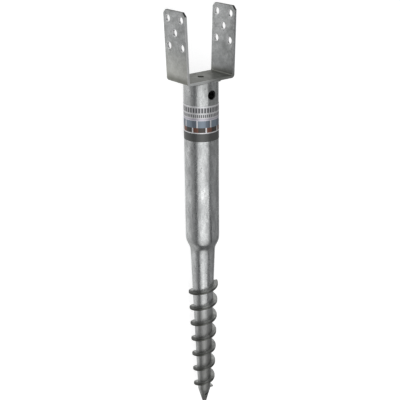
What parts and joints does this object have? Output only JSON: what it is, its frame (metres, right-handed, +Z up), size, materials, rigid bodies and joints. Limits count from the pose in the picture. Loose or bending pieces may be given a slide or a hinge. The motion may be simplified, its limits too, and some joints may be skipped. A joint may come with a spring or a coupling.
{
  "type": "foundation ground screw",
  "caption": "Galvanised steel ground screw: a swaged tube with a helical flight and a point, topped by a welded U-shaped bracket that takes a square post.",
  "frame": {"origin": "on the floor under the middle of the screw's length, with the screw lying on its side", "axes": "+X along the screw from the bracket to the point, Y across the bracket from leg to leg, +Z up"},
  "size_m": [0.764, 0.108, 0.0603],
  "materials": {
    "galvanised_tube": "hot-dip galvanised",
    "galvanised_flight": "hot-dip galvanised, weathered",
    "galvanised_plate": "hot-dip galvanised",
    "weld_metal": "galvanised weld bead",
    "label_film": "printed film, plain colour fields"
  },
  "bodies": {
    "root": {"shaft_tube": "galvanised_tube", "helix_flight": "galvanised_flight", "u_bracket": "galvanised_plate", "bracket_weld": "weld_metal", "label_band": "label_film"}
  },
  "joints": []
}
